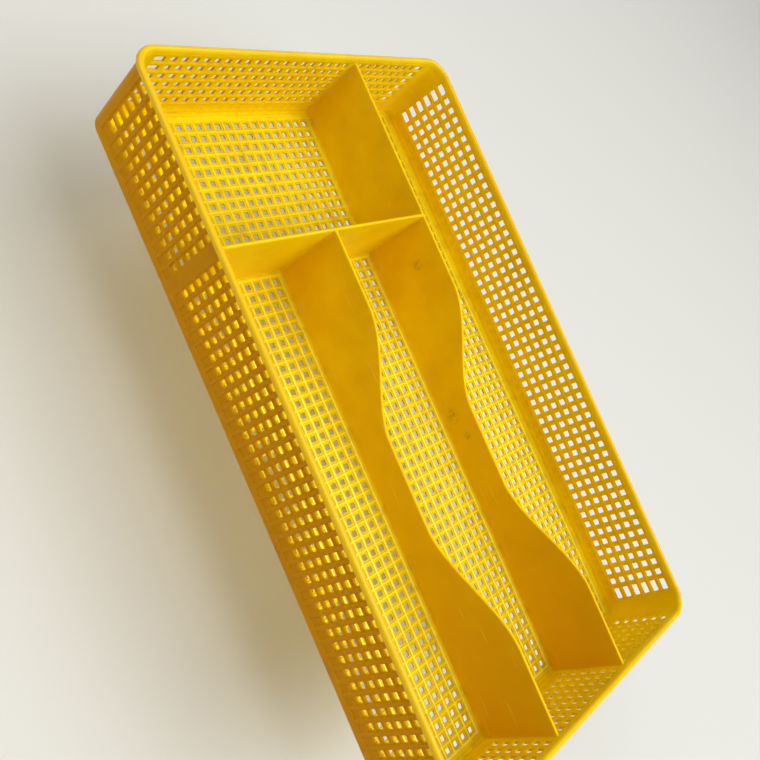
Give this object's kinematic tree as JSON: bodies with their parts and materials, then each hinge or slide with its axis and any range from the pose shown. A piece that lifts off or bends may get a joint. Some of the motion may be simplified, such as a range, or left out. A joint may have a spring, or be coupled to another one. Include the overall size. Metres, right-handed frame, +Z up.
{
  "type": "cutlery tray",
  "caption": "Shallow open-topped perforated plastic tray with a rounded rim bead, a crosswise bay at one end and three lengthwise channels with dipped partitions.",
  "frame": {"origin": "centre of the underside of the floor, on the surface the tray rests on", "axes": "+Z up; +Y along the tray towards the end with the crosswise teaspoon bay; +X towards the side with the full-length channel"},
  "size_m": [0.21, 0.343, 0.05],
  "materials": {
    "floor_plastic": "satin, slightly translucent yellow polythene",
    "wall_plastic": "satin, slightly translucent yellow polythene",
    "rim_plastic": "satin, slightly translucent yellow polythene, polished by handling",
    "partition_plastic": "satin, slightly translucent yellow polythene with faint scuffs"
  },
  "bodies": {
    "root": {"floor_teaspoon_bay": "floor_plastic", "floor_left_channel": "floor_plastic", "floor_middle_channel": "floor_plastic", "floor_right_channel": "floor_plastic", "wall_right": "wall_plastic", "wall_far": "wall_plastic", "wall_left": "wall_plastic", "wall_near": "wall_plastic", "corner_far_right": "wall_plastic", "corner_far_left": "wall_plastic", "corner_near_left": "wall_plastic", "corner_near_right": "wall_plastic", "rim_rail_right": "rim_plastic", "rim_rail_far": "rim_plastic", "rim_rail_left": "rim_plastic", "rim_rail_near": "rim_plastic", "rim_bend_far_right": "rim_plastic", "rim_bend_far_left": "rim_plastic", "rim_bend_near_left": "rim_plastic", "rim_bend_near_right": "rim_plastic", "partition_long": "partition_plastic", "partition_short": "partition_plastic", "divider_cross": "partition_plastic"}
  },
  "joints": []
}
